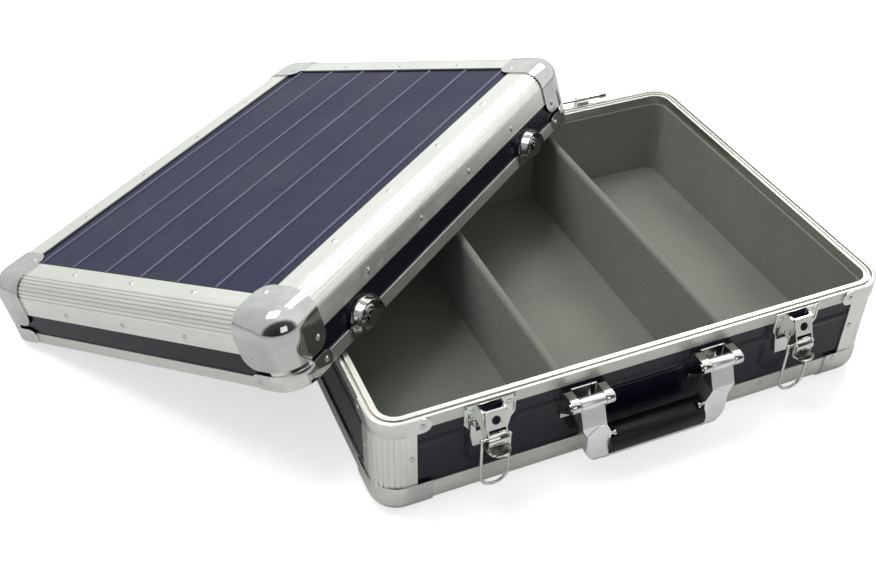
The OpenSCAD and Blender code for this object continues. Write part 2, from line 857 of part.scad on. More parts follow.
module handle_frame() {
    rail_half = handle_pitch / 2 + arm_outer - arm_corner;
    color(chrome) {
        for (side = [-1, 1]) handle_at(side) difference() {
            intersection() {
                side_view(4 * arm_in) arm_side_2d();
                arm_front_cut(side, 3 * handle_out) arm_front_2d();
            }
            cross_pin([handle_out, handle_z], handle_pin_r + run_gap, bracket_w);
            // The front stands back outside the round field
            translate([0, field_h - arm_front, 0]) arm_front_cut(side, field_h + over)
                difference() {
                    translate([-2 * field_r, arm_low - over])
                        square([4 * field_r, handle_z - arm_low]);
                    translate([-arm_in, grip_z]) circle(field_r, $fn = 96);
                }
        }
        // Rail under the grip joins the arms
        translate([-rail_half, rail_inset - case_d / 2 - arm_front, arm_low])
            cube([2 * rail_half, arm_depth - 2 * rail_inset, rail_t]);
    }
}

// Extrudes a front view of the right arm out of the case, mirrored for the left arm
module arm_front_cut(side, h) {
    translate([0, over, 0]) mirror([(1 - side) / 2, 0, 0]) rotate([90, 0, 0])
        translate([0, 0, over]) linear_extrude(height = h) children();
}

module handle_grip() {
    color(black) translate([0, -case_d / 2, 0]) difference() {
        translate([0, -grip_out, grip_z]) rotate([0, 90, 0])
            cylinder(r = grip_r, h = 2 * (grip_half - fit_gap), center = true);
        // Room for the screw at each end
        for (s = [-1, 1]) translate([s * grip_half, 0, 0])
            cross_pin([screw_out, screw_z], notch_r, 2 * notch);
    }
}

module handle_screws() {
    shank = notch / 2;
    shank_r = 1.6;
    head_t = 2;
    head_r = notch_r - 0.8;
    color(chrome) for (s = [-1, 1]) translate([0, -case_d / 2, 0]) {
        translate([s * (grip_half - shank / 2), 0, 0]) cross_pin([screw_out, screw_z], shank_r, shank);
        translate([s * (grip_half - shank - head_t / 2), 0, 0])
            cross_pin([screw_out, screw_z], head_r, head_t);
    }
}

// Hinges, drawn on the back with x to the right seen from the front

hinge_z = base_h + hinge_rise;
leaf_w = knuckle_w + 14;
module on_back() {
    translate([0, case_d / 2, 0]) mirror([0, 1, 0]) children();
}

module hinge_knuckles() {
    leaf_low = base_h - 0.5 - leaf_h;
    color(metal) on_back() for (s = [-1, 1]) translate([s * hinge_x, 0, 0]) difference() {
        union() {
            translate([-leaf_w / 2, -leaf_t, leaf_low]) cube([leaf_w, leaf_t, leaf_h]);
            translate([-leaf_w / 2, -leaf_t, leaf_low])
                cube([leaf_w, leaf_t + board_in, rim_face_low - leaf_low]);
            side_view(knuckle_w) base_knuckle_2d();
        }
        cross_pin([hinge_out, hinge_z], pull_pin_r + run_gap, leaf_w);
    }
}

module base_knuckle_2d() {
    low = base_h - 7;
    root = low - 9;
    translate([hinge_out, hinge_z]) circle(knuckle_r);
    translate([0, low]) square([hinge_out, hinge_z - low]);
    translate([hinge_out, low]) square([knuckle_r, hinge_z - low]);
    polygon([[0, root], [hinge_out + knuckle_r, low], [0, low]]);
}

module hinge_pin(side) {
    near = hinge_x - knuckle_w / 2 - play - lid_knuckle_w;
    far = hinge_x + knuckle_w / 2 + play;
    stem_r = 2;
    stem = 15;
    knob_r = 3.1;
    knob = 7;
    color(chrome) on_back() translate([0, -hinge_out, hinge_z]) rotate([0, 90 * side, 0]) {
        translate([0, 0, near]) cylinder(r = pull_pin_r, h = far - near, $fn = small_fn);
        translate([0, 0, far]) cylinder(r = stem_r, h = stem, $fn = small_fn);
        translate([0, 0, far + stem]) cylinder(r = knob_r, h = knob, $fn = small_fn);
    }
}

// Lid, drawn in its own frame: rim plane at z = 0, then leant on the base

lean_y = -case_d / 2 + lean_from_front;
touch_in = tongue_inset + tongue_w;
touch = [-case_w / 2 + lean_from_left, -case_d / 2 + touch_in];
front_run = case_w / 2 - touch_in - touch[0];
side_run = (case_d / 2 - lean_y - front_run * sin(lean_yaw)) / cos(lean_yaw);
line_turn = atan2(side_run, front_run);
lean_line = lean_yaw + line_turn;
low_corner = [-case_w / 2 + corner_r, case_d / 2 - corner_r];
low_reach = (low_corner - touch) * [-sin(line_turn), cos(line_turn)] + corner_r - tongue_inset;
lean_tilt = asin(base_h / low_reach);

// Rests the lid's tongue on the left and back rims and on the floor
module lean() {
    translate([-case_w / 2, lean_y, base_h + rest_gap])
        rotate(a = -lean_tilt, v = [cos(lean_line), sin(lean_line), 0])
            rotate([0, 0, lean_yaw])
                translate([-touch[0], -touch[1], tongue_h]) children();
}

module lid_top_board() {
    span = case_w - 2 * lid_flange - 2 * fit_gap;
    rib_n = floor((case_d / 2 - lid_flange - rib_r) / rib_pitch);
    color(slate) lean() {
        translate([0, 0, roof_z]) linear_extrude(height = top_board_t) outline(lid_edge_r);
        intersection() {
            translate([-span / 2, -case_d / 2, roof_z + top_board_t])
                cube([span, case_d, rib_h + over]);
            for (k = [-rib_n : rib_n])
                translate([0, k * rib_pitch, lid_h - profile_t + rib_h - rib_r]) rotate([0, 90, 0])
                    cylinder(r = rib_r, h = case_w, center = true);
        }
    }
}

module lid_board(i) {
    color(navy) lean() on_side(i)
        translate([0, board_in + board_t / 2, (lid_web_h + lid_board_top) / 2])
            cube([side_len(i) - 2 * corner_r, board_t, lid_board_top - lid_web_h], center = true);
}

module lid_edge(i) {
    color(metal) lean() on_side(i) translate([0, 0, lid_h]) mirror([0, 0, 1])
        mitred(i, lid_flange)
            run_x(side_len(i) - 2 * corner_r) edge_2d(lid_edge_r, lid_flange, lid_flange, flutes);
}

module lid_ball(i) {
    span = max(ball_reach, ball_drop) + 3;
    color(chrome) lean() on_corner(i) translate([0, 0, lid_h]) mirror([0, 0, 1])
        intersection() {
            cap_shell(lid_edge_r, span, span);
            translate([0, 0, -over - cap_t]) linear_extrude(height = 2 * span)
                lobe_2d(ball_reach, ball_reach, lobe_r);
            translate([0, 2 * span, 0]) rotate([90, 0, 0])
                linear_extrude(height = 3 * span) lobe_2d(ball_reach, ball_drop, lobe_r);
            mirror([1, -1, 0]) translate([0, 2 * span, 0]) rotate([90, 0, 0])
                linear_extrude(height = 3 * span) lobe_2d(ball_reach, ball_drop, lobe_r);
        }
}

// Four straight lengths and four bent corners, each with a hairline joint under the clamps
module lengths_and_corners() {
    joint = 0.06;
    for (i = [0 : 3]) {
        on_side(i) run_x(side_len(i) - 2 * corner_r - 2 * joint) children();
        on_corner(i) run_corner(corner_r) children();
    }
}

module lid_rim() {
    color(metal) lean() lengths_and_corners() {
        square([profile_t, lid_rim_h]);
        square([rim_w, lid_web_h]);
        translate([board_back, 0]) square([rim_w - board_back, lid_lip_h]);
        translate([tongue_inset, -tongue_h]) square([tongue_w, tongue_h + over]);
    }
}

// Posts that join the lid's boards, each with its clamp round the rim corner
module lid_corner_posts() {
    core = corner_r - board_back;
    shell = corner_r - profile_t;
    color(chrome) lean() for (i = [0 : 3]) on_corner(i) {
        clamp_band(clamp_h);
        translate([corner_r, corner_r, 0]) rotate([0, 0, 180]) rotate_extrude(angle = 90)
            difference() {
                union() {
                    translate([core, lid_web_h]) square([shell - core, lid_board_top - lid_web_h]);
                    translate([core, lid_rim_h])
                        square([corner_r + cap_t / 2 - core, clamp_h - lid_rim_h - 0.5]);
                    translate([core, lid_rim_h])
                        square([corner_r - core, lid_board_top - lid_rim_h]);
                }
                translate([core + profile_t, lid_web_h + profile_t])
                    square([shell - core - 2 * profile_t, lid_board_top - lid_web_h - 2 * profile_t]);
            }
    }
}

module lid_lining() {
    color(felt) lean() {
        translate([0, 0, roof_z - fit_gap - roof_lining_t]) linear_extrude(height = roof_lining_t)
            outline(lid_edge_r + 2 * fit_gap + roof_lining_t);
        lengths_and_corners() lid_lining_2d();
    }
}

// Section of the lid's lining: wall, slant behind the round edge, and lip at the roof
module lid_lining_2d() {
    slant = lid_edge_r + fit_gap - lining_out;
    sheet = roof_lining_t;
    lip = lid_edge_r + fit_gap;
    polygon([[lining_out, lid_lip_h + fit_gap], [lining_out, lid_board_top],
        [lip, lid_board_top + slant], [lip, roof_z - fit_gap], [lip + sheet, roof_z - fit_gap],
        [lip + sheet, lid_board_top + slant + sheet - sheet * sqrt(2)],
        [lid_lining_in, lid_board_top + lid_lining_t - sheet * sqrt(2)],
        [lid_lining_in, lid_lip_h + fit_gap]]);
}

// Keeper: back plate, spool that the bail's bend lies round, and a hood over both
module lid_keeper(side) {
    top = 27;
    half = latch_w / 2;
    hood_z = 6.5;
    hood_r = top - hood_z - 1;
    hood_out = 8.5;
    hood_fall = 2.5;
    hood_t = 1.3;
    spool_r = bail_half - wire_r - play;
    spool_z = 10;
    groove_out = latch_t + 2 * wire_r + 3 * play;
    flange_t = 1.8;
    knob_r = 6;
    knob_t = 3;
    color(chrome) lean() translate([side * latch_x, -case_d / 2, 0]) {
        rotate([90, 0, 0]) linear_extrude(height = latch_t) keeper_2d(half, top);
        // The part above the rim reaches back to the side board
        intersection() {
            translate([0, board_in, 0]) rotate([90, 0, 0])
                linear_extrude(height = board_in + latch_t) keeper_2d(half, top);
            translate([-half, -half, lid_rim_h]) cube([2 * half, 2 * half, top]);
        }
        // Hood
        intersection() {
            translate([0, 0, hood_z]) rotate([90, 0, 0]) difference() {
                cylinder(r1 = hood_r, r2 = hood_r - hood_fall, h = hood_out, $fn = 96);
                translate([0, 0, latch_t])
                    cylinder(r1 = hood_r - hood_t, r2 = hood_r - hood_fall - hood_t, h = hood_out,
                        $fn = 96);
            }
            translate([-half, -hood_out - over, hood_z - 2])
                cube([2 * half, hood_out + over - latch_t / 2, top]);
        }
        // Spool and its front flange
        intersection() {
            translate([0, 0, spool_z]) rotate([90, 0, 0]) {
                cylinder(r = spool_r, h = groove_out + flange_t / 2);
                translate([0, 0, groove_out])
                    cylinder(r1 = spool_r + wire_r, r2 = spool_r - flange_t, h = flange_t);
                cylinder(r = knob_r, h = groove_out + flange_t + knob_t);
            }
            translate([-half, -2 * hood_out, 0.5]) cube([2 * half, 2 * hood_out, top]);
        }
    }
}

// Outline of a keeper: straight sides and a round top
module keeper_2d(half, top) {
    rise = top - 9;
    r = (half * half + rise * rise) / (2 * rise);
    intersection() {
        translate([-half, 0]) square([2 * half, top]);
        translate([0, top - r]) circle(r, $fn = 96);
    }
}

module lid_hinge_leaves() {
    near = hinge_x - knuckle_w / 2 - play - lid_knuckle_w;
    lid_leaf_w = lid_knuckle_w - 0.5;
    lid_leaf_h = lid_flange_low - lid_rim_h - leaf_gap;
    arm_t = 4.4;
    color(metal) lean() on_back() for (s = [-1, 1])
        translate([s * (near + lid_knuckle_w / 2), 0, 0]) difference() {
            union() {
                translate([-lid_leaf_w / 2, -leaf_t, 0.5]) cube([lid_leaf_w, leaf_t, lid_rim_h - 0.5]);
                translate([-lid_leaf_w / 2, -leaf_t, lid_rim_h])
                    cube([lid_leaf_w, leaf_t + board_in, lid_leaf_h]);
                side_view(lid_leaf_w) {
                    translate([hinge_out, hinge_rise]) circle(knuckle_r);
                    translate([0, hinge_rise + knuckle_r - arm_t]) square([hinge_out, arm_t]);
                }
            }
            cross_pin([hinge_out, hinge_rise], pull_pin_r + run_gap, lid_leaf_w + 2 * over);
        }
}

module lid_rivets() {
    ball_rivet = ball_reach - lobe_r + 3;
    ball_rivet_z = lid_h - ball_drop + lobe_r - 3;
    top_in = (lid_edge_r + lid_flange) / 2;
    color(chrome) lean() for (i = [0 : 3]) {
        on_side(i) for (x = rivet_row(i)) {
            side_rivet(x, lid_h - top_in);
            translate([x, top_in, lid_h]) rivet();
        }
        on_corner(i) {
            corner_rivets(ball_rivet, ball_rivet_z, cap_t);
            corner_rivets(clamp_reach - clamp_h / 2, clamp_h / 2, cap_t);
            translate([ball_rivet, ball_rivet, lid_h + cap_t]) rivet();
        }
    }
}

base_bottom_board();
base_board(0);  // base_board_front
base_board(1);  // base_board_right
base_board(2);  // base_board_back
base_board(3);  // base_board_left
base_edge(0);  // base_edge_front
base_edge(1);  // base_edge_right
base_edge(2);  // base_edge_back
base_edge(3);  // base_edge_left
base_upright(0);  // base_upright_front_left
base_upright(1);  // base_upright_front_right
base_upright(2);  // base_upright_back_right
base_upright(3);  // base_upright_back_left
base_rim();
base_rim_clamps();
base_cap(0);  // base_cap_front_left
base_cap(1);  // base_cap_front_right
base_cap(2);  // base_cap_back_right
base_cap(3);  // base_cap_back_left
base_lining();
divider(-1);  // divider_left
divider(1);  // divider_right
base_rivets();
latch_plate(-1);  // latch_plate_left
latch_plate(1);  // latch_plate_right
latch_lever(-1);  // latch_lever_left
latch_lever(1);  // latch_lever_right
latch_bail(-1);  // latch_bail_left
latch_bail(1);  // latch_bail_right
latch_lock(-1);  // latch_lock_left
latch_lock(1);  // latch_lock_right
handle_bracket(-1);  // handle_bracket_left
handle_bracket(1);  // handle_bracket_right
handle_pins();
handle_frame();
handle_grip();
handle_screws();
hinge_knuckles();
hinge_pin(-1);  // hinge_pin_left
hinge_pin(1);  // hinge_pin_right
lid_top_board();
lid_board(0);  // lid_board_front
lid_board(1);  // lid_board_right
lid_board(2);  // lid_board_back
lid_board(3);  // lid_board_left
lid_edge(0);  // lid_edge_front
lid_edge(1);  // lid_edge_right
lid_edge(2);  // lid_edge_back
lid_edge(3);  // lid_edge_left
lid_ball(0);  // lid_ball_front_left
lid_ball(1);  // lid_ball_front_right
lid_ball(2);  // lid_ball_back_right
lid_ball(3);  // lid_ball_back_left
lid_rim();
lid_corner_posts();
lid_lining();
lid_keeper(-1);  // lid_keeper_left
lid_keeper(1);  // lid_keeper_right
lid_hinge_leaves();
lid_rivets();
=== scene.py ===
import bpy
import bmesh
import math
from mathutils import Matrix, Vector


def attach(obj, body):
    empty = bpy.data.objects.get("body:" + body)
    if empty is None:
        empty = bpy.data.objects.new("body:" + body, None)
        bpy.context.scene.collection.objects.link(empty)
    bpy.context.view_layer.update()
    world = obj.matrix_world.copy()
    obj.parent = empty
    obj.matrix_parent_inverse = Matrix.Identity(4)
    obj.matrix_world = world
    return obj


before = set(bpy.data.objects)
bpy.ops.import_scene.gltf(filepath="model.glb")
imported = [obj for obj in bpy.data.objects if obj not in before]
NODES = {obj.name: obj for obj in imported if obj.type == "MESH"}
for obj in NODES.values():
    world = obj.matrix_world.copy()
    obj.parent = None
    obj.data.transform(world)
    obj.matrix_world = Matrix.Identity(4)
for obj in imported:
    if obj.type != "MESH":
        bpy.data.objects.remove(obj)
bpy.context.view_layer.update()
MM = 0.001

QUARTER = math.radians(90)

# The lid's own frame: columns are its length, depth and height, then its origin in metres
LID_AXES = Matrix((
    (0.8063, -0.5599, -0.1906),
    (0.5908, 0.7776, 0.2151),
    (0.0278, -0.2861, 0.9578)))
LID_AT = Vector((-187.92, 153.18, 59.83)) * MM
LID_UP = LID_AXES.col[2]
# Turns into the lid's own axes, with X along its length and with X along its depth
LID_TURN = tuple(LID_AXES.transposed().to_euler("XYZ"))
LID_TURN_Y = tuple((Matrix.Rotation(-QUARTER, 3, "Z") @ LID_AXES.transposed()).to_euler("XYZ"))

# Sizes of the CAD model, in mm
CASE_W, CASE_D, BASE_H = 470.0, 364.0, 103.0
LID_H = 66.0
LID_FLANGE = 34.0
LID_EDGE_R = 18.0
FLUTES = 7
PANEL_TOP = 64.5
LATCH_X = 142.0

PAIR = ("left", "right")
SIDES = ("front", "right", "back", "left")
CORNERS = ("front_left", "front_right", "back_right", "back_left")

# Camera, fitted to the edges of the case

scene = bpy.context.scene
cam_data = bpy.data.cameras.new("camera")
cam = bpy.data.objects.new("camera", cam_data)
scene.collection.objects.link(cam)
cam_data.sensor_width = 36.0
cam_data.lens = 46.198
cam_data.clip_start = 0.01
cam_data.clip_end = 50
eye = Vector((-0.41555, -0.72977, 0.71098))
right = Vector((0.9231, -0.3846, 0.0036)).normalized()
forward = Vector((0.3000, 0.7142, -0.6323)).normalized()
up = right.cross(forward).normalized()
right = forward.cross(up).normalized()
aim = Matrix((right, up, -forward)).transposed().to_4x4()
cam.matrix_world = Matrix.Translation(eye) @ aim
scene.camera = cam

# Light

scene.view_settings.view_transform = "Standard"


def new_world():
    """White to the camera and through glass. In metal a white room, dark behind the camera and
    a little darker to the left. As light a soft sky, strongest overhead."""
    world = bpy.data.worlds.new("studio")
    scene.world = world
    world.use_nodes = True
    nt = world.node_tree
    nt.nodes.clear()
    out = nt.nodes.new("ShaderNodeOutputWorld")
    coord = nt.nodes.new("ShaderNodeTexCoord")
    path = nt.nodes.new("ShaderNodeLightPath")

    def along(axis, stops):
        """Grey by the way a ray runs: the stops go from 0, against the axis, to 1, along it."""
        dot = nt.nodes.new("ShaderNodeVectorMath")
        dot.operation = "DOT_PRODUCT"
        dot.inputs[1].default_value = axis
        nt.links.new(coord.outputs["Generated"], dot.inputs[0])
        half = nt.nodes.new("ShaderNodeMath")
        half.operation = "MULTIPLY_ADD"
        half.inputs[1].default_value = 0.5
        half.inputs[2].default_value = 0.5
        nt.links.new(dot.outputs["Value"], half.inputs[0])
        ramp = nt.nodes.new("ShaderNodeValToRGB")
        els = ramp.color_ramp.elements
        els[0].position, els[0].color = stops[0][0], (stops[0][1],) * 3 + (1,)
        els[1].position, els[1].color = stops[-1][0], (stops[-1][1],) * 3 + (1,)
        for pos, val in stops[1:-1]:
            els.new(pos).color = (val, val, val, 1)
        nt.links.new(half.outputs[0], ramp.inputs[0])
        return ramp.outputs[0]

    def glow(colour, strength):
        bg = nt.nodes.new("ShaderNodeBackground")
        bg.inputs["Strength"].default_value = strength
        if hasattr(colour, "links"):
            nt.links.new(colour, bg.inputs["Color"])
        else:
            bg.inputs["Color"].default_value = colour
        return bg.outputs[0]

    def times(a, b):
        mix = nt.nodes.new("ShaderNodeMix")
        mix.data_type = "RGBA"
        mix.blend_type = "MULTIPLY"
        mix.inputs[0].default_value = 1.0
        nt.links.new(a, mix.inputs[6])
        nt.links.new(b, mix.inputs[7])
        return mix.outputs[2]

    def choose(flag, no, yes):
        """One glow for the rays of a kind, another for the rest."""
        mix = nt.nodes.new("ShaderNodeMixShader")
        nt.links.new(path.outputs[flag], mix.inputs[0])
        nt.links.new(no, mix.inputs[1])
        nt.links.new(yes, mix.inputs[2])
        return mix.outputs[0]

    overhead = along((0, 0, 1), ((0.0, 0.05), (0.50, 0.06), (0.65, 0.26), (1.0, 1.0)))
    behind = along((-0.06, -1.0, 0.03), ((0.0, 1.0), (0.68, 1.0), (0.78, 0.10), (1.0, 0.03)))
    left = along((-1, 0, 0), ((0.0, 1.0), (0.47, 1.0), (0.57, 0.80), (1.0, 0.62)))
    sky = glow(overhead, strength=0.58)
    room = glow(times(behind, left), strength=1.15)
    white = glow((1, 1, 1, 1), strength=1.0)
    seen = choose("Is Transmission Ray", choose("Is Glossy Ray", sky, room), white)
    nt.links.new(choose("Is Camera Ray", seen, white), out.inputs["Surface"])


new_world()


def area(name, loc, target, size, energy):
    """Square lamp at loc that faces target."""
    data = bpy.data.lights.new(name, "AREA")
    data.size = size
    data.energy = energy
    obj = bpy.data.objects.new(name, data)
    scene.collection.objects.link(obj)
    obj.location = loc
    aim = Vector(target) - Vector(loc)
    obj.rotation_mode = "QUATERNION"
    obj.rotation_quaternion = aim.to_track_quat("-Z", "Y")


area("key", (-0.6, 0.4, 2.1), (-0.05, 0.05, 0.05), size=1.1, energy=22)
area("back", (1.0, 0.9, 1.7), (-0.10, 0.05, 0.10), size=0.9, energy=15)
area("fill", (0.2, -2.2, 1.0), (0.0, 0.0, 0.05), size=1.0, energy=4)

# Materials


class Net:
    """One material's node tree. Each method adds a node and gives its output, set() links one
    to the shader."""

    def __init__(self, name, metallic=0.0, rough=0.5, spec=0.5):
        self.mat = bpy.data.materials.new(name)
        self.mat.use_nodes = True
        self.nt = self.mat.node_tree
        self.bsdf = self.nt.nodes["Principled BSDF"]
        self.bsdf.inputs["Metallic"].default_value = metallic
        self.bsdf.inputs["Roughness"].default_value = rough
        self.bsdf.inputs["Specular IOR Level"].default_value = spec
        self.tc = self.nt.nodes.new("ShaderNodeTexCoord")

    def coords(self, scale=(1, 1, 1), turn=(0, 0, 0)):
        """Object coordinates, turned into a piece's own axes and then stretched."""
        src = self.tc.outputs["Object"]
        for key, val in (("Rotation", turn), ("Scale", scale)):
            m = self.nt.nodes.new("ShaderNodeMapping")
            m.vector_type = "POINT"
            m.inputs[key].default_value = val
            self.nt.links.new(src, m.inputs["Vector"])
            src = m.outputs["Vector"]
        return src

    def height(self, normal, at):
        """Distance of the point in front of a plane, in metres."""
        dot = self.nt.nodes.new("ShaderNodeVectorMath")
        dot.operation = "DOT_PRODUCT"
        dot.inputs[1].default_value = normal
        self.nt.links.new(self.tc.outputs["Object"], dot.inputs[0])
        off = self.nt.nodes.new("ShaderNodeMath")
        off.operation = "SUBTRACT"
        off.inputs[1].default_value = Vector(normal).dot(Vector(at))
        self.nt.links.new(dot.outputs["Value"], off.inputs[0])
        return off.outputs[0]

    def fade(self, value, low, high):
        """0 below low, 1 above high."""
        m = self.nt.nodes.new("ShaderNodeMapRange")
        m.interpolation_type = "SMOOTHSTEP"
        m.inputs["From Min"].default_value = low
        m.inputs["From Max"].default_value = high
        self.nt.links.new(value, m.inputs["Value"])
        return m.outputs["Result"]

    def share(self, value, whole):
        """0 at 0, 1 at whole, straight between."""
        m = self.nt.nodes.new("ShaderNodeMapRange")
        m.inputs["From Max"].default_value = whole
        self.nt.links.new(value, m.inputs["Value"])
        return m.outputs["Result"]

    def noise(self, vec, scale, detail=4, rough=0.55, distortion=0.0):
        n = self.nt.nodes.new("ShaderNodeTexNoise")
        n.inputs["Scale"].default_value = scale
        n.inputs["Detail"].default_value = detail
        n.inputs["Roughness"].default_value = rough
        n.inputs["Distortion"].default_value = distortion
        self.nt.links.new(vec, n.inputs["Vector"])
        return n.outputs["Fac"]

    def cells(self, vec, scale):
        """Distance to the middle of the nearest cell."""
        n = self.nt.nodes.new("ShaderNodeTexVoronoi")
        n.inputs["Scale"].default_value = scale
        self.nt.links.new(vec, n.inputs["Vector"])
        return n.outputs["Distance"]

    def ramp(self, fac, stops):
        """Colour by a value, from two or more (place, colour) stops."""
        r = self.nt.nodes.new("ShaderNodeValToRGB")
        els = r.color_ramp.elements
        els[0].position, els[0].color = stops[0][0], stops[0][1]
        els[1].position, els[1].color = stops[-1][0], stops[-1][1]
        for pos, col in stops[1:-1]:
            els.new(pos).color = col
        self.nt.links.new(fac, r.inputs["Fac"])
        return r.outputs["Color"]

    def grey_ramp(self, fac, stops):
        return self.ramp(fac, [(p, (v, v, v, 1)) for p, v in stops])

    def mix(self, fac, a, b, mode="MIX"):
        m = self.nt.nodes.new("ShaderNodeMix")
        m.data_type = "RGBA"
        m.blend_type = mode
        for socket, val in ((m.inputs[0], fac), (m.inputs[6], a), (m.inputs[7], b)):
            if hasattr(val, "links"):
                self.nt.links.new(val, socket)
            else:
                socket.default_value = val
        return m.outputs[2]

    def bump(self, height, strength, distance, base=None):
        """Normal tilted by a height map, on top of another such normal."""
        b = self.nt.nodes.new("ShaderNodeBump")
        b.inputs["Strength"].default_value = strength
        b.inputs["Distance"].default_value = distance
        self.nt.links.new(height, b.inputs["Height"])
        if base is not None:
            self.nt.links.new(base, b.inputs["Normal"])
        return b.outputs["Normal"]

    def set(self, socket, value):
        self.nt.links.new(value, self.bsdf.inputs[socket])


def rgb(r, g, b):
    """sRGB 0..255 to linear."""
    def lin(c):
        c /= 255.0
        return c / 12.92 if c <= 0.04045 else ((c + 0.055) / 1.055) ** 2.4
    return (lin(r), lin(g), lin(b), 1)


def flute_shade_mask(n, side):
    """1 in the fine flutes round the lid's edges, where the metal gets painted shade, 0 on the
    metal between them. side is the lid's coordinate across the profile, and a step runs from one
    flute to the next."""
    radius = LID_EDGE_R * MM
    turned = n.nt.nodes.new("ShaderNodeSeparateXYZ")
    n.nt.links.new(n.coords(turn=LID_TURN), turned.inputs[0])
    origin = LID_AXES.transposed() @ LID_AT
    half = (CASE_D if side == "Y" else CASE_W) / 2 * MM

    def calc(op, a, b=None):
        m = n.nt.nodes.new("ShaderNodeMath")
        m.operation = op
        for i, val in enumerate((a, b)):
            if val is None:
                continue
            if hasattr(val, "links"):
                n.nt.links.new(val, m.inputs[i])
            else:
                m.inputs[i].default_value = val
        return m.outputs[0]

    across = calc("ABSOLUTE", calc("SUBTRACT", turned.outputs[side], origin["XYZ".index(side)]))
    out = calc("SUBTRACT", across, half - radius)
    up = calc("SUBTRACT", turned.outputs["Z"], origin[2] + LID_H * MM - radius)
    step = calc("MULTIPLY", calc("ARCTAN2", up, out), (FLUTES + 1) / QUARTER)
    near = calc("ABSOLUTE", calc("SUBTRACT", step, calc("ROUND", step)))
    line = calc("SUBTRACT", 1.0, n.fade(near, 0.10, 0.17))
    first, last = n.fade(step, 0.6, 0.8), n.fade(step, FLUTES + 0.2, FLUTES + 0.4)
    return calc("MULTIPLY", line, calc("SUBTRACT", first, last))


def aluminium(name, turn, tint=(230, 233, 226), flutes=None):
    """Mill-finish profile: drawn streaks along it, faint dulling, small scuffs and, where it is
    fluted, painted shade in the flutes. turn brings X along the profile."""
    n = Net(name, metallic=1.0)
    streak = n.noise(n.coords(scale=(1.0, 170, 170), turn=turn), 6, detail=3)
    cloud = n.noise(n.coords(), 14, detail=4)
    scuff = n.noise(n.coords(scale=(1, 1.6, 1.6), turn=turn), 90, detail=6, distortion=0.6)
    dark = rgb(*[c - 9 for c in tint])
    light = rgb(*[c + 6 for c in tint])
    # Colour of the painted shade in the flutes
    flute_shade = rgb(196, 198, 196)
    base = n.ramp(streak, [(0.25, dark), (0.75, light)])
    dull = n.grey_ramp(cloud, [(0.35, 0.93), (0.7, 1.0)])
    base = n.mix(1.0, base, dull, "MULTIPLY")
    if flutes:
        base = n.mix(flute_shade_mask(n, flutes), base, flute_shade)
    n.set("Base Color", base)
    drawn = n.grey_ramp(streak, [(0.2, 0.28), (0.8, 0.40)])
    scuffed = n.grey_ramp(scuff, [(0.55, 0.0), (0.75, 0.16)])
    n.set("Roughness", n.mix(1.0, drawn, scuffed, "ADD"))
    nb = n.bump(streak, 0.05, 0.0002)
    n.set("Normal", n.bump(scuff, 0.03, 0.0003, nb))
    return n.mat


def chrome(name, tint=(220, 223, 218), rough=(0.05, 0.12)):
    """Bright plated steel with a slightly wavy skin, fine wipes and dull freckles."""
    n = Net(name, metallic=1.0)
    wave = n.noise(n.coords(), 38, detail=2)
    fleck = n.noise(n.coords(), 520, detail=5)
    wipe = n.noise(n.coords(scale=(1, 1.6, 1.2)), 46, detail=4, distortion=0.4)
    dark = rgb(*[c - 14 for c in tint])
    n.set("Base Color", n.ramp(wipe, [(0.3, dark), (0.7, rgb(*tint))]))
    wiped = n.grey_ramp(wipe, [(0.3, rough[0]), (0.75, rough[1])])
    freckled = n.grey_ramp(fleck, [(0.62, 0.0), (0.75, 0.10)])
    n.set("Roughness", n.mix(1.0, wiped, freckled, "ADD"))
    nb = n.bump(wave, 0.10, 0.0012)
    n.set("Normal", n.bump(fleck, 0.03, 0.0001, nb))
    return n.mat


def satin(name):
    """Cast and tumbled light metal of the handle's arms."""
    n = Net(name, metallic=1.0)
    cloud = n.noise(n.coords(), 24, detail=3)
    grain = n.noise(n.coords(), 900, detail=4)
    n.set("Base Color", n.ramp(cloud, [(0.3, rgb(226, 228, 228)), (0.7, rgb(242, 243, 243))]))
    n.set("Roughness", n.grey_ramp(cloud, [(0.3, 0.24), (0.75, 0.36)]))
    n.set("Normal", n.bump(grain, 0.08, 0.0001))
    return n.mat


def plastic(name, dark, light, pebble=420.0, rough=(0.34, 0.5), depth=0.0006, strength=0.35,
            spec=0.4):
    """Pebbled plastic skin with a faint mottle and paler scuffs."""
    n = Net(name, spec=spec)
    v = n.coords()
    stone = n.cells(v, pebble)
    cloud = n.noise(v, 11, detail=5)
    fine = n.noise(v, 700, detail=4)
    scuff = n.noise(n.coords(scale=(1, 6, 1)), 120, detail=6, distortion=1.2)
    base = n.ramp(cloud, [(0.3, rgb(*dark)), (0.72, rgb(*light))])
    mark = n.grey_ramp(scuff, [(0.68, 0.0), (0.86, 0.35)])
    pale = rgb(*[min(255, int(c * 1.35 + 14)) for c in light])
    n.set("Base Color", n.mix(mark, base, pale))
    n.set("Roughness", n.grey_ramp(cloud, [(0.3, rough[0]), (0.75, rough[1])]))
    nb = n.bump(stone, strength, depth)
    n.set("Normal", n.bump(fine, 0.12, 0.0002, nb))
    return n.mat


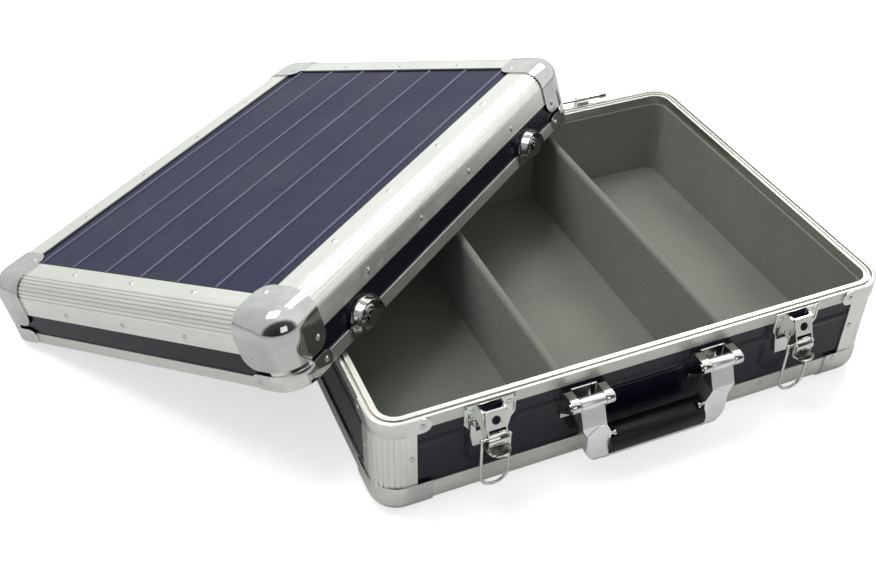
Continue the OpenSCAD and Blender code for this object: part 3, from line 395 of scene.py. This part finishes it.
def ribbed_panel(name):
    """The lid's matt panel. Its ribs get painted shade at their feet and, on their crests, a
    painted highlight that is partly wear.
    """
    n = Net(name, spec=0.26)
    v = n.coords(turn=LID_TURN)
    stone = n.cells(v, 420)
    cloud = n.noise(v, 9, detail=5)
    fine = n.noise(v, 700, detail=4)
    rub = n.noise(n.coords(scale=(8, 60, 60), turn=LID_TURN), 5, detail=5)
    lift = n.height(LID_UP, LID_AT + LID_UP * PANEL_TOP * MM)
    base = n.ramp(cloud, [(0.3, rgb(22, 25, 57)), (0.72, rgb(30, 33, 67))])
    # Painted shade at the feet of the ribs
    rise = n.share(lift, 1.0 * MM)
    foot_shade = n.grey_ramp(rise, [(0.0, 1.0), (0.05, 0.5), (0.28, 0.5), (0.40, 1.0)])
    base = n.mix(1.0, base, foot_shade, "MULTIPLY")
    # Pale crests: a painted highlight, partly wear, patchy by a noise
    crest_patchiness = n.grey_ramp(rub, [(0.3, 0.45), (0.7, 0.85)])
    crest_highlight_and_wear = n.mix(n.fade(lift, 0.35 * MM, 0.8 * MM), (0, 0, 0, 1), crest_patchiness)
    highlight_and_wear_pale = rgb(122, 122, 146)
    n.set("Base Color", n.mix(crest_highlight_and_wear, base, highlight_and_wear_pale))
    n.set("Roughness", n.grey_ramp(cloud, [(0.3, 0.40), (0.75, 0.56)]))
    nb = n.bump(stone, 0.22, 0.0005)
    n.set("Normal", n.bump(fine, 0.10, 0.0002, nb))
    return n.mat


def felt(name, dark, mid, pale):
    """Short-pile grey felt over foam board."""
    n = Net(name, rough=0.95, spec=0.15)
    v = n.coords()
    cloud = n.noise(v, 9, detail=4)
    fibre = n.noise(v, 900, detail=6, rough=0.7)
    pill = n.cells(v, 260)
    base = n.ramp(cloud, [(0.25, rgb(*dark)), (0.5, rgb(*mid)), (0.78, rgb(*pale))])
    speck = n.grey_ramp(fibre, [(0.3, 0.78), (0.7, 1.12)])
    n.set("Base Color", n.mix(1.0, base, speck, "MULTIPLY"))
    nb = n.bump(fibre, 0.5, 0.0006)
    n.set("Normal", n.bump(pill, 0.25, 0.0008, nb))
    n.bsdf.inputs["Sheen Weight"].default_value = 0.35
    n.bsdf.inputs["Sheen Roughness"].default_value = 0.6
    return n.mat


def grip_black(name):
    """Smooth hard rubber, slightly greasy from hands."""
    n = Net(name, spec=0.3)
    v = n.coords()
    cloud = n.noise(v, 30, detail=5)
    fine = n.noise(v, 1100, detail=3)
    n.set("Base Color", n.ramp(cloud, [(0.3, rgb(10, 10, 11)), (0.75, rgb(18, 18, 18))]))
    n.set("Roughness", n.grey_ramp(cloud, [(0.3, 0.34), (0.75, 0.5)]))
    n.set("Normal", n.bump(fine, 0.15, 0.0002))
    return n.mat


M = {
    "alu_x": aluminium("aluminium_x", (0, 0, 0)),
    "alu_y": aluminium("aluminium_y", (0, 0, -QUARTER)),
    "alu_z": aluminium("aluminium_z", (0, QUARTER, 0)),
    "alu_lx": aluminium("aluminium_lid_x", LID_TURN, flutes="Y"),
    "alu_ly": aluminium("aluminium_lid_y", LID_TURN_Y, flutes="X"),
    "alu_rim": aluminium("aluminium_rim", (0, 0, 0), tint=(204, 203, 197)),
    "alu_lid_rim": aluminium("aluminium_lid_rim", LID_TURN, tint=(220, 222, 216)),
    "chrome": chrome("chromed_steel"),
    "ball": chrome("ball_steel", tint=(200, 203, 199), rough=(0.04, 0.10)),
    "wire": chrome("bright_wire", rough=(0.10, 0.2)),
    # The keeper's chrome is tinted darker: painted shade for the dark interior and panel it
    # reflects
    "keeper_shaded": chrome("keeper_steel_shaded", tint=(168, 170, 168)),
    "rivet": chrome("rivet_steel", tint=(206, 208, 206), rough=(0.16, 0.3)),
    "satin": satin("satin_arms"),
    "navy": plastic("navy_panel", (14, 16, 28), (20, 23, 38), pebble=260, rough=(0.14, 0.26),
                    depth=0.0008, strength=0.10, spec=0.3),
    "navy_top": ribbed_panel("navy_top_panel"),
    "felt": felt("grey_felt", (122, 125, 115), (131, 134, 124), (140, 143, 132)),
    "divider": felt("divider_felt", (120, 122, 114), (129, 131, 122), (138, 140, 131)),
    "grip": grip_black("grip_rubber"),
    "lock": grip_black("lock_black"),
    # Black of the strip that darkens the lid panel's seam
    "dark_seam": grip_black("dark_seam_black"),
    # Dark colour of the sheet that paints the shade in the latch slots
    "slot_shade": plastic("slot_shade_plastic", (16, 14, 34), (24, 21, 46), rough=(0.3, 0.5)),
}


def paint(node, mat):
    """One material on a whole CAD node."""
    mesh = NODES[node].data
    mesh.materials.clear()
    mesh.materials.append(M[mat])


for side in ("front", "back"):
    paint("base_edge_" + side, "alu_x")
    paint("lid_edge_" + side, "alu_lx")
for side in PAIR:
    paint("base_edge_" + side, "alu_y")
    paint("lid_edge_" + side, "alu_ly")
for side in SIDES:
    paint("base_board_" + side, "navy")
    paint("lid_board_" + side, "navy")
for corner in CORNERS:
    paint("base_upright_" + corner, "alu_z")
    paint("base_cap_" + corner, "chrome")
    paint("lid_ball_" + corner, "ball")
paint("base_rim", "alu_rim")
paint("lid_rim", "alu_lid_rim")
paint("base_rim_clamps", "chrome")
paint("lid_corner_posts", "chrome")
paint("base_lining", "felt")
paint("lid_lining", "felt")
paint("divider_left", "divider")
paint("divider_right", "divider")
paint("base_rivets", "rivet")
paint("lid_rivets", "rivet")
paint("base_bottom_board", "navy")
paint("lid_top_board", "navy_top")
for side in PAIR:
    paint("latch_plate_" + side, "chrome")
    paint("latch_lever_" + side, "chrome")
    paint("latch_bail_" + side, "wire")
    paint("latch_lock_" + side, "lock")
    paint("lid_keeper_" + side, "keeper_shaded")
    paint("handle_bracket_" + side, "chrome")
    paint("hinge_pin_" + side, "chrome")
paint("handle_pins", "chrome")
paint("handle_frame", "satin")
paint("handle_grip", "grip")
paint("handle_screws", "chrome")
paint("hinge_knuckles", "alu_x")
paint("lid_hinge_leaves", "alu_lid_rim")


def round_edges(obj, width, segments, sharp):
    """Bevel, in mm, on the edges that turn by more than sharp degrees."""
    bevel = obj.modifiers.new("bevel", "BEVEL")
    bevel.width = width * MM
    bevel.segments = segments
    bevel.limit_method = "ANGLE"
    bevel.angle_limit = math.radians(sharp)


def soften(node, width):
    """Narrow round on a node's sharp edges, as a modifier."""
    weld = NODES[node].modifiers.new("weld", "WELD")
    weld.merge_threshold = 0.01 * MM
    round_edges(NODES[node], width, segments=2, sharp=35)


# Pieces of the scene alone


def lid_point(x, y, z):
    """A place in the lid's own frame, in mm, as a point in the case's frame, in metres."""
    return LID_AXES @ (Vector((x, y, z)) * MM) + LID_AT


def bar(bm, points, place):
    """Closed box from eight corners: four below and four above, both anticlockwise. place turns
    a corner's x, y and z into a point in the case's frame."""
    vs = [bm.verts.new(place(*p)) for p in points]
    ends = ((3, 2, 1, 0), (4, 5, 6, 7))
    walls = ((0, 1, 5, 4), (1, 2, 6, 5), (2, 3, 7, 6), (3, 0, 4, 7))
    for quad in ends + walls:
        bm.faces.new([vs[i] for i in quad])


def piece(name, bm, body, mat, width):
    """Mesh of the scene alone: rounded on its edges by width, in mm, and riding on a body."""
    mesh = bpy.data.meshes.new(name)
    bmesh.ops.recalc_face_normals(bm, faces=bm.faces)
    bm.to_mesh(mesh)
    bm.free()
    obj = bpy.data.objects.new(name, mesh)
    scene.collection.objects.link(obj)
    round_edges(obj, width, segments=3, sharp=30)
    mesh.materials.append(M[mat])
    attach(obj, body)


def dark_seam():
    """Black strip that darkens the seam where the lid's panel goes under its profiles, mitred at
    the corners.
    """
    bm = bmesh.new()
    out_x, out_y = CASE_W / 2 - LID_FLANGE, CASE_D / 2 - LID_FLANGE
    wide, sunk, below_flange = 2.2, 0.3, 0.5
    low, top = PANEL_TOP - sunk, LID_H - below_flange
    for k in range(4):
        a, b = (out_x, out_y) if k % 2 == 0 else (out_y, out_x)
        turn = Matrix.Rotation(k * QUARTER, 3, "Z")
        flat = ((-a, -b), (a, -b), (a - wide, -b + wide), (-a + wide, -b + wide))
        pts = [(x, y, z) for z in (low, top) for x, y in flat]
        bar(bm, pts, lambda x, y, z: lid_point(*(turn @ Vector((x, y, z)))))
    piece("lid_dark_seam", bm, "lid", "dark_seam", 0.5)


def slot_shade_sheet(side):
    """Dark sheet on a latch plate between its ears, behind the lever: painted shade in the slot.
    """
    bm = bmesh.new()
    middle = LATCH_X if side == "right" else -LATCH_X
    half_width = 8.3
    left, right = middle - half_width, middle + half_width
    out_front, out_back = 1.75, 0.9
    front, back = -CASE_D / 2 - out_front, -CASE_D / 2 - out_back
    below_rim, length = 4.6, 10.9
    top = BASE_H - below_rim
    flat = ((left, front), (right, front), (right, back), (left, back))
    pts = [(x, y, z) for z in (top - length, top) for x, y in flat]
    bar(bm, pts, lambda x, y, z: Vector((x, y, z)) * MM)
    piece("latch_slot_shade_" + side, bm, "base", "slot_shade", 0.3)


dark_seam()
for side in PAIR:
    slot_shade_sheet(side)

# Pressed, cast and covered pieces have no knife edges
for node, width in (("latch_plate", 0.35), ("latch_lever", 0.3), ("lid_keeper", 0.4),
                    ("handle_bracket", 0.7)):
    for side in PAIR:
        soften(node + "_" + side, width)
for corner in CORNERS:
    soften("base_cap_" + corner, 0.35)
    soften("lid_ball_" + corner, 0.35)
for node, width in (("handle_frame", 0.8), ("handle_grip", 0.8), ("handle_screws", 0.4),
                    ("base_rim_clamps", 0.3), ("lid_corner_posts", 0.3), ("hinge_knuckles", 0.3),
                    ("lid_hinge_leaves", 0.3), ("base_rim", 0.25), ("lid_rim", 0.25),
                    ("divider_left", 0.8), ("divider_right", 0.8)):
    soften(node, width)


def floor():
    """White to the camera and through glass, darker in metal, and it takes the shadow."""
    half, gap = 6.0, 0.0006
    mesh = bpy.data.meshes.new("floor")
    corners = ((-half, -half, 0), (half, -half, 0), (half, half, 0), (-half, half, 0))
    mesh.from_pydata(corners, (), ((0, 1, 2, 3),))
    obj = bpy.data.objects.new("floor", mesh)
    obj.location.z = -gap
    scene.collection.objects.link(obj)
    mat = bpy.data.materials.new("floor")
    mat.use_nodes = True
    nt = mat.node_tree
    nt.nodes.clear()
    out = nt.nodes.new("ShaderNodeOutputMaterial")
    diff = nt.nodes.new("ShaderNodeBsdfDiffuse")
    diff.inputs["Color"].default_value = (0.76, 0.76, 0.76, 1)
    lift = nt.nodes.new("ShaderNodeEmission")
    lift.inputs["Color"].default_value = (1, 1, 1, 1)
    lift.inputs["Strength"].default_value = 0.64
    add = nt.nodes.new("ShaderNodeAddShader")
    nt.links.new(diff.outputs[0], add.inputs[0])
    nt.links.new(lift.outputs[0], add.inputs[1])
    path = nt.nodes.new("ShaderNodeLightPath")
    seen = path.outputs["Is Camera Ray"]
    for flag, share in (("Is Glossy Ray", 0.10), ("Is Transmission Ray", 1.0)):
        part = nt.nodes.new("ShaderNodeMath")
        part.operation = "MULTIPLY_ADD"
        part.use_clamp = True
        part.inputs[1].default_value = share
        nt.links.new(path.outputs[flag], part.inputs[0])
        nt.links.new(seen, part.inputs[2])
        seen = part.outputs[0]
    mix = nt.nodes.new("ShaderNodeMixShader")
    nt.links.new(seen, mix.inputs[0])
    nt.links.new(diff.outputs[0], mix.inputs[1])
    nt.links.new(add.outputs[0], mix.inputs[2])
    nt.links.new(mix.outputs[0], out.inputs["Surface"])
    mesh.materials.append(mat)


floor()
